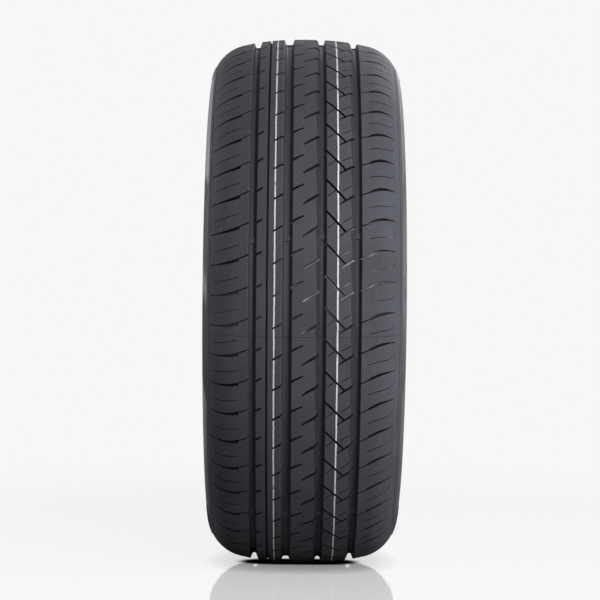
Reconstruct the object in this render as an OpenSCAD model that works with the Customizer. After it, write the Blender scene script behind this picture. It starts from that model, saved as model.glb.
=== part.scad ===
/* [Overall size] */
// Diameter over the tread at its middle
outer_d = 634; // [600:1:670]
// Width over the two sidewalls
section_w = 224.4; // [212:0.2:240]
// Diameter of the bead seats, which the wheel rim fills
rim_seat_d = 436.6; // [425:0.2:445]
// Width over the two bead heels
bead_span = 190; // [180:1:200]
// Depth of the flat spot that the soft tyre stands on
contact_flat = 0.5; // [0.3:0.1:1.5]

/* [Outer curves] */
// Turn of the middle tread arc, from the middle to its edge, in degrees
crown_turn = 1.9; // [1.5:0.1:2.5]
// Radius of the outer tread arc
tread_r = 262.3; // [220:0.1:300]
// Turn of the outer tread arc in degrees
tread_turn = 11.82; // [10:0.01:14]
// Radius of the shoulder arc
shoulder_r = 48.9; // [44:0.1:52]
// Turn of the shoulder arc in degrees
shoulder_turn = 67.14; // [64:0.01:70]
// Radius of the arc above the widest part
sidewall_r = 52.8; // [45:0.1:60]

/* [Walls] */
// Rubber and belts under the middle of the tread, groove depth included
crown_t = 14; // [13:0.5:17]
// Thickness at the widest part of the sidewall
sidewall_t = 7.5; // [6:0.5:10]
// Turn of the hollow's shoulder arc in degrees
liner_turn = 80; // [76:1:82]
// Radius of the hollow's arc below the widest part
liner_low_r = 22; // [18:1:26]

/* [Beads] */
// Length of each bead along the axis, heel to toe
bead_l = 20; // [17:0.5:23]
// Height of the bead's straight outer face above the seat
bead_h = 9.5; // [8:0.5:12]
// Height of the bead's inner corner above the seat
bead_inner_h = 10; // [8:0.5:12]
// How far the bead's faces lean in towards the seat
bead_taper = 1.5; // [0.5:0.1:2]
// Least rubber between the curve beside the rim and the hollow's arc
rim_wall_t = 8; // [6:0.5:8.5]
// Rounding of the bead heel
heel_r = 4.5; // [3:0.5:6]
// Rounding of the bead toe
toe_r = 1.5; // [1:0.5:2]

/* [Rim rib] */
// Height of the rim rib's middle above the bead seat
rim_rib_h = 23; // [21:0.5:26]
// Width of the rim rib's flat top
rim_rib_w = 3; // [2:0.5:5]
// How far the rim rib stands out of the sidewall
rim_rib_out = 2.2; // [1:0.1:3]
// How far the sidewall has drawn in where the rim rib starts
rim_rib_in = 2.4; // [2:0.1:4]
// Angle where the hollow under the rim rib starts, in degrees
rim_curve_from = 108; // [100:1:120]

/* [Shoulder rings] */
// Depth of the two fine ring lines on each shoulder
ring_line_t = 0.6; // [0.3:0.1:1]
// Width of a ring line at its floor
ring_line_w = 0.6; // [0.4:0.1:1]
// Angle of the upper ring line on the shoulder arc, in degrees
ring_upper = 34; // [30:1:40]
// Angle of the lower ring line on the shoulder arc, in degrees
ring_lower = 27; // [20:1:29]

/* [Main grooves] */
// Depth of the main grooves
groove_t = 7.5; // [6:0.5:9]
// Slope of the groove walls in degrees
groove_draft = 20; // [10:1:24]
// Corner cut between a groove's wall and its floor
groove_corner = 1; // [0.5:0.1:1.3]
// Width of the narrow groove
fine_groove_w = 2.3; // [1.5:0.1:4]
// Depth of the narrow groove
fine_groove_t = 6; // [4:0.5:7]
// Height of the wear bars above the groove floor
wear_bar_h = 1.6; // [1:0.1:2]
// Length of a wear bar round the tyre
wear_bar_l = 6.5; // [4:0.5:10]
// Number of places with wear bars
wear_bar_count = 6; // [4:1:8]
// How far these places run ahead and behind of even steps, in pitches
wear_bar_swing = 1.14; // [0:0.01:1.5]

/* [Tread pattern] */
// Number of pattern pitches round the tyre
pitch_count = 52; // [44:1:56]
// Angle of the first pitch above the front, in degrees
pitch_start = 1.78; // [-3:0.01:5]
// How far the pitches run ahead and behind of even steps, in degrees
pitch_swing = 2.49; // [0:0.01:3]
// Smaller ripple of the same kind, in degrees
pitch_ripple = 0.39; // [0:0.01:0.5]
// Depth of the slots in the ribs
slot_t = 5; // [3:0.5:6]
// Depth of the thin sipes in the ribs
sipe_t = 4; // [2:0.5:5]
// Width of the thin sipes
sipe_w = 0.8; // [0.6:0.1:1.2]
// Depth of the shoulder slots at their inner end
shoulder_slot_t = 4.5; // [3:0.5:5]
// Slope of the shoulder slots' floor in degrees
shoulder_slot_lean = 22; // [20:1:24]
// Largest width of the saw-tooth chamfer on a rib's edge
tooth_w = 3; // [1.5:0.1:3.5]
// Smallest width of the saw-tooth chamfer
tooth_end_w = 0.8; // [0.4:0.1:1]
// Slope of the saw-tooth chamfer in degrees
tooth_lean = 38; // [30:1:45]

/* [Hidden] */
$fn = 96;

outer_r = outer_d / 2;
seat_r = rim_seat_d / 2;
half_w = section_w / 2;
half_bead = bead_span / 2;

// The tread pattern is laid out for a tyre this wide, and its places across follow section_w
pattern_w = 224.4;
across = section_w / pattern_w;
// Left and right edge of each main groove, measured across from the tread's middle
main_grooves = across * [[-61.7, -52.3], [-25.5, -13.7], [13.7, 23.1], [51.9, 61.3]];
fine_groove_y = -41 * across;
fine_groove = [fine_groove_y - fine_groove_w / 2, fine_groove_y + fine_groove_w / 2];
// Pitch where the first wear bar lies, and how far a bar reaches into the rubber round it
first_bar_pitch = 1.7;
bar_root = 1;
// Distance across where the shoulder slots reach their full depth
shoulder_slot_y = 74 * across;
// How far the cuts reach out of the rubber
cut_clear = 14;
// How far a rounded corner's flat steps may lie from the true curve
curve_error = 0.1;

// Points on an arc about centre c, from angle a to angle b
function arc(c, r, a, b) =
    let (n = max(2, ceil(abs(b - a) / (2 * acos(1 - curve_error / r)))))
    [for (i = [0:n]) c + r * [cos(a + (b - a) * i / n), sin(a + (b - a) * i / n)]];

// The other half of a section, from its last point back to its first
function other_half(points) = [for (i = [len(points) - 1:-1:0]) [-points[i][0], points[i][1]]];

// The outer arcs meet at a tangent, and are worked out from the widest point inwards.
// Angles are measured from the +Y side, so the middle of the tread is at 90.
shoulder_from = 90 - crown_turn - tread_turn - shoulder_turn;
tread_from = shoulder_from + shoulder_turn;
crown_from = tread_from + tread_turn;
side_run = sidewall_r * (1 - cos(shoulder_from));
shoulder_run = shoulder_r * (cos(shoulder_from) - cos(tread_from));
tread_run = tread_r * (cos(tread_from) - cos(crown_from));
crown_r = (half_w - side_run - shoulder_run - tread_run) / cos(crown_from);
crown_c = [0, outer_r - crown_r];
tread_c = crown_c + (crown_r - tread_r) * [cos(crown_from), sin(crown_from)];
shoulder_c = tread_c + (tread_r - shoulder_r) * [cos(tread_from), sin(tread_from)];
side_c = shoulder_c + (shoulder_r - sidewall_r) * [cos(shoulder_from), sin(shoulder_from)];
widest_r = side_c[1];
crown_edge = crown_r * cos(crown_from);
tread_edge = crown_edge + tread_run;

// Radius of the tread surface at a distance y from the middle
function surface_r(y) =
    abs(y) < crown_edge ? crown_c[1] + sqrt(crown_r * crown_r - y * y)
    : abs(y) < tread_edge ? tread_c[1] + sqrt(tread_r * tread_r - pow(abs(y) - tread_c[0], 2))
    : shoulder_c[1] + sqrt(shoulder_r * shoulder_r - pow(abs(y) - shoulder_c[0], 2));

// The lower sidewall, the rim rib and the bead's outer face
rib_r = seat_r + rim_rib_h;
rib_y = half_w - rim_rib_in;
rib_top_r = rib_r + rim_rib_w / 2 + rim_rib_out;
lower_drop = widest_r - rib_top_r;
lower_r = (pow(rim_rib_in, 2) + pow(lower_drop, 2)) / (2 * rim_rib_in);
lower_turn = asin(lower_drop / lower_r);
rib_out_y = rib_y + rim_rib_out;
bead_face_y = half_bead + bead_taper;
rim_curve_r = rim_rib_h - rim_rib_w - bead_h;

// The hollow inside: one arc at each shoulder and one across the tread, at a tangent,
// then an arc and a straight slope down to the bead
liner_y = half_w - sidewall_t;
liner_rise = outer_r - crown_t - widest_r;
liner_det = (1 - cos(liner_turn)) * (1 - sin(liner_turn)) - cos(liner_turn) * sin(liner_turn);
liner_shoulder_r = (liner_y * (1 - sin(liner_turn)) - cos(liner_turn) * liner_rise) / liner_det;
liner_crown_r = (liner_y - liner_shoulder_r * (1 - cos(liner_turn))) / cos(liner_turn);
toe_y = half_bead - bead_l;
liner_foot = [toe_y + bead_taper, seat_r + bead_inner_h];

// The arc above the bead is smaller where liner_low_r would leave less than rim_wall_t
rim_curve_c = [bead_face_y + rim_curve_r, seat_r + bead_h];
rim_gap = [liner_y, widest_r] - rim_curve_c;
rim_keep_r = rim_curve_r + rim_wall_t;
low_r = min(liner_low_r, (rim_gap * rim_gap - pow(rim_keep_r, 2)) / (2 * (rim_gap[0] + rim_keep_r)));
liner_low_c = [liner_y - low_r, widest_r];
foot_way = liner_foot - liner_low_c;
liner_low_turn = -atan2(foot_way[1], foot_way[0]) - acos(low_r / norm(foot_way));

// Half of the section, [across, radius], from the middle of the tread round to the liner's middle
half_section = concat(
    arc(crown_c, crown_r, 90, crown_from),
    arc(tread_c, tread_r, crown_from, tread_from),
    arc(shoulder_c, shoulder_r, tread_from, shoulder_from),
    arc(side_c, sidewall_r, shoulder_from, 0),
    arc([half_w - lower_r, widest_r], lower_r, 0, -lower_turn),
    [[rib_out_y, rib_r + rim_rib_w / 2], [rib_out_y, rib_r - rim_rib_w / 2]],
    arc(rim_curve_c, rim_curve_r, rim_curve_from, 180),
    arc([half_bead - heel_r, seat_r + heel_r], heel_r, 0, -90),
    arc([toe_y + toe_r, seat_r + toe_r], toe_r, 270, 180),
    [liner_foot],
    arc(liner_low_c, low_r, -liner_low_turn, 0),
    arc([liner_y - liner_shoulder_r, widest_r], liner_shoulder_r, 0, liner_turn),
    arc([0, outer_r - crown_t - liner_crown_r], liner_crown_r, liner_turn, 90)
);

// Angle of pitch i above the front
function pitch_angle(i) =
    let (even = 360 * i / pitch_count)
    pitch_start + even - pitch_swing * sin(2 * even) + pitch_ripple * (1 - cos(5 * even));

// Length of pitch i compared with an even one
function pitch_stretch(i) =
    (pitch_angle(i + 0.5) - pitch_angle(i - 0.5)) * pitch_count / 360;

// Pitch where wear bar k lies
function bar_pitch(k) =
    first_bar_pitch + k * pitch_count / wear_bar_count
    + wear_bar_swing * sin(360 * k / wear_bar_count);

// Outline of a stroke along a path, with a width at each of its points
function stroke(path, widths) =
    let (
        last = len(path) - 1,
        sides = [for (i = [0:last])
            let (along = path[min(i + 1, last)] - path[max(i - 1, 0)])
            [-along[1], along[0]] / norm(along) * widths[i] / 2]
    )
    concat([for (i = [0:last]) path[i] + sides[i]], [for (i = [last:-1:0]) path[i] - sides[i]]);

// Radius of the floor of a groove between a and b
function floor_r(groove, depth) = (surface_r(groove[0]) + surface_r(groove[1])) / 2 - depth;

// Puts a cut on the tread, at an angle up from the front and at y across. Its floor is at
// radius r, turned by twist about the way out and leaning by lean towards +Y.
module on_tread(angle, y, r, lean = 0, twist = 0) {
    rotate([0, -angle, 0])
        translate([r, y, 0])
            rotate([twist, 0, 0])
                rotate([0, 0, lean])
                    rotate([90, 0, 90])
                        children();
}

// A cut along a path of [across, up] points, across from the tread's middle, up from the
// pitch's own angle and stretched with the pitch
module cut(i, path, widths, y, r, lean = 0) {
    placed = [for (p = path) [p[0] * across - y, p[1] * pitch_stretch(i)]];
    on_tread(pitch_angle(i), y, r, lean)
        linear_extrude(height = cut_clear)
            polygon(stroke(placed, widths));
}

module rib_cut(i, path, widths, depth) {
    y = path[1][0] * across;
    cut(i, path, widths, y, surface_r(y) - depth);
}

module shoulder_cut(i, path, widths, side) {
    y = shoulder_slot_y * side;
    cut(i, path, widths, y, surface_r(y) - shoulder_slot_t, shoulder_slot_lean * side);
}

// The saw-tooth chamfer along a rib's edge at y, from the slot of pitch i down to the next
module tooth(i, y) {
    run = PI * outer_d / pitch_count * pitch_stretch(i - 0.5);
    angle = (pitch_angle(i) + pitch_angle(i - 1)) / 2;
    taper = atan((tooth_w - tooth_end_w) / run);
    on_tread(angle, y - (tooth_w + tooth_end_w) / 2, surface_r(y), tooth_lean, taper)
        linear_extrude(height = cut_clear / 2)
            translate([0, -run / 2]) square([cut_clear / 2, run]);
}

// All cuts of one pitch, from the left shoulder to the right one
module pitch(i) {
    shoulder_cut(i, [[-102, -4.6], [-88, -4.4], [-73, -0.4], [-59, 6.6]], [0.6, 2, 3, sipe_w], -1);
    rib_cut(i, [[-54, 3.8], [-46.4, 8.8]], [1.8, 1.2], sipe_t);
    rib_cut(i, [[-34.2, -5.8], [-23, 1.2]], [1, 1.4], sipe_t);
    rib_cut(i, [[-16, 4.2], [-1.5, 12.4]], [1, sipe_w], sipe_t);
    rib_cut(i, [[-2.6, -12], [3, -7.8], [16, 1.2]], [1, 2.2, 2.8], slot_t);
    rib_cut(i, [[36.6, -11.6], [44, -6.3], [54, 0.6]], [sipe_w, 1.6, 2], slot_t);
    rib_cut(i, [[21, 19.8], [35.3, 3.8], [44, -6.6]], [2.1, 2.1, 1.9], slot_t);
    shoulder_cut(i, [[59, 1.2], [72, 6.6], [80, 11], [100, 12.6]], [sipe_w, 1.6, 2.6, 0.6], 1);
    tooth(i, main_grooves[2][0]);
    tooth(i, main_grooves[3][0]);
}

// Section of a groove, open above the tread
module groove_section(groove, depth, draft, corner) {
    slope = tan(draft);
    top = max(surface_r(groove[0]), surface_r(groove[1])) + cut_clear;
    low = floor_r(groove, depth);
    foot = [groove[0] + depth * slope, groove[1] - depth * slope];
    spread = (top - low) * slope;
    polygon([
        [foot[0] - spread, top],
        [foot[0] - corner * slope, low + corner],
        [foot[0] + corner, low],
        [foot[1] - corner, low],
        [foot[1] + corner * slope, low + corner],
        [foot[1] + spread, top]
    ]);
}

// Section of a fine ring line, at an angle on the shoulder arc
module ring_line(angle) {
    translate(shoulder_c + (shoulder_r - ring_line_t) * [cos(angle), sin(angle)])
        rotate(angle)
            polygon([
                [0, -ring_line_w / 2],
                [ring_line_t * 4, -ring_line_t * 3],
                [ring_line_t * 4, ring_line_t * 3],
                [0, ring_line_w / 2]
            ]);
}

// Turns a section of [across, radius] points round the tyre's own axis
module around(angle = 360) {
    rotate([-90, 0, 0])
        rotate_extrude(angle = angle, $fn = 240)
            mirror([1, -1, 0])
                children();
}

module carcass() {
    around()
        difference() {
            polygon(concat(half_section, other_half(half_section)));
            for (groove = main_grooves) groove_section(groove, groove_t, groove_draft, groove_corner);
            groove_section(fine_groove, fine_groove_t, groove_draft / 10, groove_corner / 10);
            for (angle = [ring_upper, ring_lower]) {
                ring_line(angle);
                mirror([1, 0]) ring_line(angle);
            }
        }
}

// The bars that show across the main grooves when the tread is worn down
module wear_bars() {
    bar_turn = wear_bar_l / (outer_r - groove_t) * 180 / PI;
    for (k = [0:wear_bar_count - 1])
        rotate([0, bar_turn / 2 - pitch_angle(bar_pitch(k)), 0])
            around(bar_turn)
                for (groove = main_grooves)
                    translate([groove[0] + bar_root, floor_r(groove, groove_t) - bar_root])
                        square([groove[1] - groove[0] - 2 * bar_root, bar_root + wear_bar_h]);
}

// The flat spot under the tyre
module ground() {
    translate([-half_w, -half_w, contact_flat - outer_r - cut_clear])
        cube([section_w, section_w, cut_clear]);
}

module tyre() {
    color("#46474b")
        difference() {
            union() {
                carcass();
                wear_bars();
            }
            for (i = [0:pitch_count - 1]) pitch(i);
            ground();
        }
}

tyre();
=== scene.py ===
"""Car tyre off its rim, standing on its tread: one moulded piece of rubber and its studio."""

import logging
import math
from collections.abc import Callable, Iterable
from dataclasses import dataclass, field
from enum import IntEnum

import bmesh
import bpy
from bmesh.types import BMesh, BMFace, BMFaceSeq, BMVert, BMVertSeq
from bpy.types import Material, Mesh, Node, NodeSocket, NodeTree, Object
from mathutils import Matrix, Vector


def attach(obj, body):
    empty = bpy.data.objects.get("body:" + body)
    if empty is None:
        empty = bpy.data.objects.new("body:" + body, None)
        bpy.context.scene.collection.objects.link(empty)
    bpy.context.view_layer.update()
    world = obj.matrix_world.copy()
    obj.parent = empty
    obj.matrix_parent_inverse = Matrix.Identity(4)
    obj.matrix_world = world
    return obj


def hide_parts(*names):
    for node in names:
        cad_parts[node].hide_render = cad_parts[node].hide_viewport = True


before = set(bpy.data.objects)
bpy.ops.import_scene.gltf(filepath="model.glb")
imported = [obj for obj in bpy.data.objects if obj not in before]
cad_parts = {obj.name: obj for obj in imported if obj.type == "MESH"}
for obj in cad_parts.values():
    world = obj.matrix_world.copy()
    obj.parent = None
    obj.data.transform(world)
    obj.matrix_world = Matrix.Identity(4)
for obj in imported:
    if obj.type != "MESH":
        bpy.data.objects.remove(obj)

log = logging.getLogger("car_tyre")

MM = 0.001
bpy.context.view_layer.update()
FRAME_PX = 600

Pair = tuple[float, float]
Colour = tuple[float, float, float, float]


class Zone(IntEnum):
    """Place of each finish in the tyre's material list."""

    TREAD = 0
    GROOVE = 1
    # The CHAMFER, SLOT, LIP and SLOT_FLOOR finishes are painted shade: darker colours on the
    # chamfers and in the recesses.
    CHAMFER = 2
    SIDEWALL = 3
    BEAD = 4
    LINER = 5
    SLOT = 6
    LIP = 7
    SLOT_FLOOR = 8


Marks = list[tuple[Vector, Zone]]


def zoned(points: Iterable[Vector], zone: Zone) -> Marks:
    """Points of the section, each with the finish of the face that follows it."""
    return [(point, zone) for point in points]


def spot_key(across: float, radius: float, per_mm: int) -> tuple[int, int]:
    """Rounded place in the section, to look up a face or a point."""
    return round(across * per_mm), round(radius * per_mm)


def to_mesh(bm: BMesh, name: str) -> Mesh:
    """Turns a bmesh into a mesh and frees it.

    Args:
        bm: the bmesh.
        name: name of the mesh.

    Returns:
        The mesh.
    """
    mesh = bpy.data.meshes.new(name)
    bm.to_mesh(mesh)
    bm.free()
    return mesh


def stand(name: str, data: bpy.types.ID) -> Object:
    """Makes an object and links it to the scene.

    Args:
        name: its name.
        data: its mesh, lamp or camera.

    Returns:
        The object.
    """
    made = bpy.data.objects.new(name, data)
    bpy.context.scene.collection.objects.link(made)
    return made


@dataclass(frozen=True)
class Arc:
    """An arc of the section, in millimetres, with its angles in degrees from the +Y side."""

    across: float
    height: float
    size: float
    start: float
    end: float

    def at(self, angle: float, out: float = 0.0) -> Vector:
        """Point at an angle, moved out of the arc by a distance."""
        turn, reach = math.radians(angle), self.size + out
        return Vector((self.across + reach * math.cos(turn), self.height + reach * math.sin(turn)))

    def degrees(self, length: float) -> float:
        """Turn that a length takes on this arc."""
        return math.degrees(length / self.size)

    def steps(self, count: int, first: int = 0) -> list[Vector]:
        """Evenly spaced points along the arc.

        Args:
            count: number of steps from start to end.
            first: 1 leaves the start point out, where the arc before it ends there.

        Returns:
            The points, in order.
        """
        span = self.end - self.start
        return [self.at(self.start + span * i / count) for i in range(first, count + 1)]


@dataclass(frozen=True)
class Ring:
    """A ring round the tyre on one of its arcs: raised above it, or cut into it."""

    angle: float
    height: float
    foot: float
    top: float

    def points(self, arc: Arc) -> list[Vector]:
        """Its four corners, in the order of falling angles."""
        foot, top, out = arc.degrees(self.foot), arc.degrees(self.top), self.height
        corners = ((foot, 0), (top, out), (-top, out), (-foot, 0))
        return [arc.at(self.angle + turn, height) for turn, height in corners]


@dataclass
class Section:
    """The tyre's section in millimetres, as (across, radius), with the sizes of the solid."""

    outer_d: float = 634.0
    width: float = 224.4
    seat_d: float = 436.6
    bead_span: float = 190.0
    crown_turn: float = 1.9
    tread_size: float = 262.3
    tread_turn: float = 11.82
    shoulder_size: float = 48.9
    shoulder_turn: float = 67.14
    side_size: float = 52.8
    crown_t: float = 14.0
    side_t: float = 7.5
    liner_turn: float = 80.0
    liner_low: float = 22.0
    bead_l: float = 20.0
    bead_h: float = 9.5
    bead_inner_h: float = 10.0
    bead_taper: float = 1.5
    heel: float = 4.5
    toe: float = 1.5
    rib_h: float = 23.0
    rib_w: float = 3.0
    rib_out: float = 2.2
    rib_in: float = 2.4
    rib_soft: float = 0.5
    rib_curve_from: float = 108.0
    shoulder_step: float = 4.8
    shoulder_gap: float = 2.0
    ring_lines: tuple[Ring, ...] = (Ring(34.0, -0.6, 0.55, 0.3), Ring(28.3, -0.6, 0.55, 0.3))
    ridges: tuple[Ring, ...] = (
        Ring(25.0, 0.75, 1.25, 0.35),
        Ring(21.6, 0.75, 1.25, 0.35),
        Ring(18.0, 0.75, 1.25, 0.35),
        Ring(14.3, 0.75, 1.25, 0.35),
    )
    mould_rings: tuple[Ring, ...] = (Ring(-6.2, 0.5, 0.7, 0.3), Ring(-8.6, 0.5, 0.7, 0.3))

    def __post_init__(self) -> None:
        """Works out the tangent arcs from the sizes."""
        half = self.width / 2
        low = 90 - self.crown_turn - self.tread_turn - self.shoulder_turn
        mid = low + self.shoulder_turn
        high = mid + self.tread_turn
        c_low, c_mid, c_high = (math.cos(math.radians(a)) for a in (low, mid, high))
        self.crown_edge = (
            half
            - self.side_size * (1 - c_low)
            - self.shoulder_size * (c_low - c_mid)
            - self.tread_size * (c_mid - c_high)
        )
        crown_size = self.crown_edge / c_high
        self.tread_edge = self.crown_edge + self.tread_size * (c_mid - c_high)
        self.crown = Arc(0.0, self.outer_d / 2 - crown_size, crown_size, 90.0, high)
        self.tread = self._inside(self.crown, self.tread_size, high, mid)
        self.shoulder = self._inside(self.tread, self.shoulder_size, mid, low)
        self.side = self._inside(self.shoulder, self.side_size, low, 0.0)
        self.widest = self.side.height

    @staticmethod
    def _inside(outer: Arc, size: float, start: float, end: float) -> Arc:
        """Arc that goes on from an outer one at a tangent.

        Args:
            outer: the arc before it.
            size: its radius.
            start: angle where it starts.
            end: angle where it ends.

        Returns:
            The arc.
        """
        gap, turn = outer.size - size, math.radians(start)
        across, height = outer.across + gap * math.cos(turn), outer.height + gap * math.sin(turn)
        return Arc(across, height, size, start, end)

    def arc_at(self, across: float) -> Arc:
        """Outer arc that covers a distance across."""
        inner = self.crown if abs(across) < self.crown_edge else self.tread
        return inner if abs(across) < self.tread_edge else self.shoulder

    def surface(self, across: float) -> float:
        """Radius of the tread surface at a distance across."""
        arc = self.arc_at(across)
        return arc.height + math.sqrt(arc.size**2 - (abs(across) - arc.across) ** 2)

    def way_out(self, across: float) -> Vector:
        """Direction out of the rubber.

        Args:
            across: distance from the tyre's middle.

        Returns:
            The direction, as (across, radius).
        """
        arc = self.arc_at(across)
        way = Vector((abs(across) - arc.across, self.surface(across) - arc.height)).normalized()
        return Vector((math.copysign(way.x, across), way.y))

    def _shoulder_points(self) -> Marks:
        """Shoulder from the tread's edge down to the widest part, with its rings and ridges.

        Returns:
            The points, in order.
        """
        first, *others = (*self.ring_lines, *self.ridges)
        points = []
        angle = self.shoulder.start - self.shoulder_step
        while angle > first.angle + self.shoulder_gap:
            points.append(self.shoulder.at(angle))
            angle -= self.shoulder_step
        marks = zoned([*points, *first.points(self.shoulder)], Zone.TREAD)
        for ring in others:
            marks += zoned(ring.points(self.shoulder), Zone.SIDEWALL)
        last = [self.shoulder.at(self.shoulder.end), *self.side.steps(2, 1)]
        return marks + zoned(last, Zone.SIDEWALL)

    def _lower_points(self) -> Marks:
        """Lower sidewall, rim rib, bead and the hollow up to the middle of the tread.

        Returns:
            The points, in order.
        """
        half, seat = self.width / 2, self.seat_d / 2
        half_bead = self.bead_span / 2
        rib_top = seat + self.rib_h + self.rib_w / 2 + self.rib_out
        drop = self.widest - rib_top
        low_size = (self.rib_in**2 + drop**2) / (2 * self.rib_in)
        low_turn = math.degrees(math.asin(drop / low_size))
        low = Arc(half - low_size, self.widest, low_size, 0.0, -low_turn)
        rib_y = half - self.rib_in + self.rib_out
        face = half_bead + self.bead_taper
        curve_size = self.rib_h - self.rib_w - self.bead_h
        curve = Arc(face + curve_size, seat + self.bead_h, curve_size, self.rib_curve_from, 180.0)
        heel = Arc(half_bead - self.heel, seat + self.heel, self.heel, 0.0, -90.0)
        toe_y = half_bead - self.bead_l
        toe = Arc(toe_y + self.toe, seat + self.toe, self.toe, 270.0, 180.0)
        foot = Vector((toe_y + self.bead_taper, seat + self.bead_inner_h))

        rib_mid, half_rib, soft = seat + self.rib_h, self.rib_w / 2, self.rib_soft
        wall = low.steps(6)
        rings = [point for ring in self.mould_rings for point in ring.points(low)]
        rib = [
            Vector((rib_y - soft, rib_mid + half_rib + soft)),
            Vector((rib_y, rib_mid + half_rib - soft)),
            Vector((rib_y, rib_mid - half_rib + soft)),
        ]
        rib_end = Vector((rib_y - soft, rib_mid - half_rib))
        outer = zoned([wall[1], *rings, *wall[4:], *rib], Zone.SIDEWALL)
        bead = zoned([rib_end, *curve.steps(5), *heel.steps(4), *toe.steps(3)], Zone.BEAD)
        return outer + bead + self._hollow_points(foot)

    def _hollow_points(self, foot: Vector) -> Marks:
        """The hollow, up to the middle of the tread.

        Args:
            foot: its foot above the bead.

        Returns:
            The points, in order.
        """
        liner_y = self.width / 2 - self.side_t
        rise = self.outer_d / 2 - self.crown_t - self.widest
        turn = math.radians(self.liner_turn)
        sine, cosine = math.sin(turn), math.cos(turn)
        det = (1 - cosine) * (1 - sine) - cosine * sine
        bend = (liner_y * (1 - sine) - cosine * rise) / det
        flat = (liner_y - bend * (1 - cosine)) / cosine
        low_middle = Vector((liner_y - self.liner_low, self.widest))
        way = foot - low_middle
        low_turn = -math.degrees(math.atan2(way.y, way.x)) - math.degrees(
            math.acos(self.liner_low / way.length)
        )
        low = Arc(low_middle.x, low_middle.y, self.liner_low, -low_turn, 0.0)
        shoulder = Arc(liner_y - bend, self.widest, bend, 0.0, self.liner_turn)
        crown = Arc(0.0, self.outer_d / 2 - self.crown_t - flat, flat, self.liner_turn, 90.0)
        return zoned([foot, *low.steps(4), *shoulder.steps(6, 1), *crown.steps(4, 1)], Zone.LINER)

    def half(self) -> Marks:
        """Right half of the section below the tread, from top to bottom and back inside."""
        return self._shoulder_points() + self._lower_points()


@dataclass(frozen=True)
class Groove:
    """A groove round the tyre, between two ribs, in millimetres across."""

    left: float
    right: float
    depth: float = 7.5
    draft: float = 20.0
    corner: float = 1.6
    lip: float = 0.3
    zone: Zone = Zone.GROOVE

    def floor(self, section: Section) -> float:
        """Radius of its floor."""
        return (section.surface(self.left) + section.surface(self.right)) / 2 - self.depth

    def profile(self, section: Section) -> Marks:
        """Its outline from the left rib's edge to the right rib's.

        Args:
            section: the section that the groove is cut in.

        Returns:
            The points, each with the finish of the face that follows it.
        """
        left = self._wall(section, self.left, 1)
        right = self._wall(section, self.right, -1)
        lip, *inside, right_lip, rib = left + right[::-1]
        return [(lip, Zone.TREAD), *zoned(inside, self.zone), *zoned((right_lip, rib), Zone.TREAD)]

    def _wall(self, section: Section, edge: float, way: int) -> list[Vector]:
        """One wall from the rib's edge down into the floor.

        Args:
            section: the section that the groove is cut in.
            edge: the rib's edge, in millimetres across.
            way: 1 where the groove lies on the right of the edge, -1 on the left.

        Returns:
            The points, from the lip to the floor.
        """
        slope = math.tan(math.radians(self.draft))
        top, low = section.surface(edge), self.floor(section)
        foot = Vector((edge + way * (top - low) * slope, low))
        up = Vector((-way * slope, 1.0)).normalized()
        start, end = foot + up * self.corner, foot + Vector((way * self.corner, 0.0))
        bend = [
            start * (1 - t) ** 2 + foot * (2 * t * (1 - t)) + end * t**2
            for t in (0.0, 1 / 3, 2 / 3, 1.0)
        ]
        lip_in = edge - way * self.lip
        lip = [
            Vector((lip_in, section.surface(lip_in))),
            Vector((edge + way * self.lip * slope, top - self.lip)),
        ]
        return lip + bend


@dataclass(frozen=True)
class Slot:
    """A cut across the tread: points of (across, up) in millimetres, their widths and depths."""

    path: tuple[Pair, ...]
    widths: tuple[float, ...]
    depths: tuple[float, ...]
    step: float = 6.0
    lip: float = 0.25

    def stations(self) -> list[tuple[float, float, float, float]]:
        """Points along a smooth curve through the path.

        Returns:
            Across, up, width and depth of each point.
        """
        keys = [Vector((*p, w, d)) for p, w, d in zip(self.path, self.widths, self.depths)]
        ends = [2 * keys[0] - keys[1], *keys, 2 * keys[-1] - keys[-2]]
        made = []
        for i in range(1, len(ends) - 2):
            before, start, end, after = ends[i - 1 : i + 3]
            length = math.dist(start[:2], end[:2])
            count = max(1, round(length / self.step))
            for k in range(count):
                t = k / count
                made.append(
                    0.5
                    * (
                        2 * start
                        + (end - before) * t
                        + (2 * before - 5 * start + 4 * end - after) * t**2
                        + (3 * start - before - 3 * end + after) * t**3
                    )
                )
        return [tuple(s) for s in [*made, keys[-1]]]


@dataclass
class PitchRule:
    """Where each pitch of the tread pattern lies round the tyre."""

    count: int = 52
    start: float = 1.78
    swing: float = 2.49
    ripple: float = 0.39
    bar_count: int = 6
    bar_first: float = 1.7
    bar_swing: float = 1.14

    def angle(self, pitch: float) -> float:
        """Angle of a pitch above the front, in degrees."""
        even = 360 * pitch / self.count
        return (
            self.start
            + even
            - self.swing * math.sin(math.radians(2 * even))
            + self.ripple * (1 - math.cos(math.radians(5 * even)))
        )

    def bars(self) -> list[float]:
        """Works out where the wear bars lie.

        Returns:
            Their pitches, with fractions.
        """
        turns = [math.radians(360 * k / self.bar_count) for k in range(self.bar_count)]
        steps = [k * self.count / self.bar_count for k in range(self.bar_count)]
        return [self.bar_first + s + self.bar_swing * math.sin(t) for s, t in zip(steps, turns)]


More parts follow.
